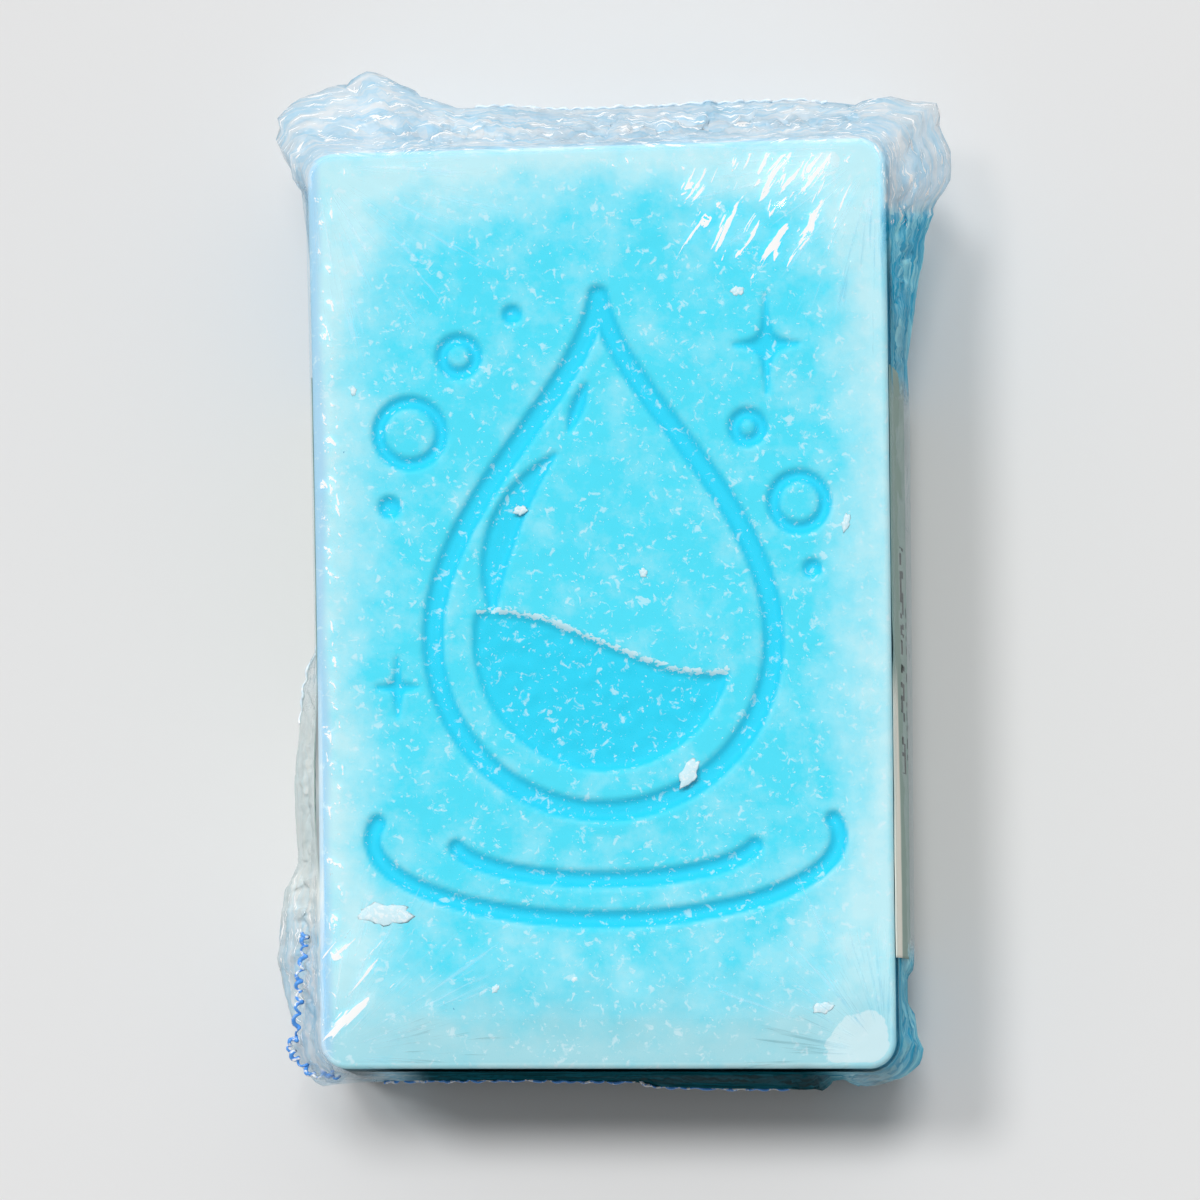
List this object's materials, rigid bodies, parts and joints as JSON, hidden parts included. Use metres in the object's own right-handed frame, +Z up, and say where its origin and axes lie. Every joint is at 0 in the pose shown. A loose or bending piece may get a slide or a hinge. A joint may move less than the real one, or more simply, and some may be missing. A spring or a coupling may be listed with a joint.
{
  "type": "wrapped detailing clay bar",
  "caption": "Moulded clay bar with an engraved water-drop face, a wrap-round paper label and a shrunk clear film wrap with gathered corners.",
  "frame": {"origin": "centre of the face the bar rests on, the underside of the film below the bar's back", "axes": "+Z up, out of the engraved face; +Y along the bar's length, towards the end with the loose film overhang; +X towards the film's folded side, where the label's right flap shows"},
  "size_m": [0.0763, 0.1151, 0.0257],
  "materials": {
    "clay": "satin",
    "clay_flake": "matte",
    "label_paper": "matte",
    "film": "gloss",
    "weld": "gloss"
  },
  "bodies": {
    "root": {"clay_bar": "clay", "clay_flakes": "clay_flake", "paper_label": "label_paper", "film_upper_web": "film", "film_lower_web": "film", "film_weld_beads": "weld", "film_ear_back_left": "film", "film_ear_back_right": "film", "film_ear_front_right": "film", "film_ear_front_left": "film"}
  },
  "joints": []
}
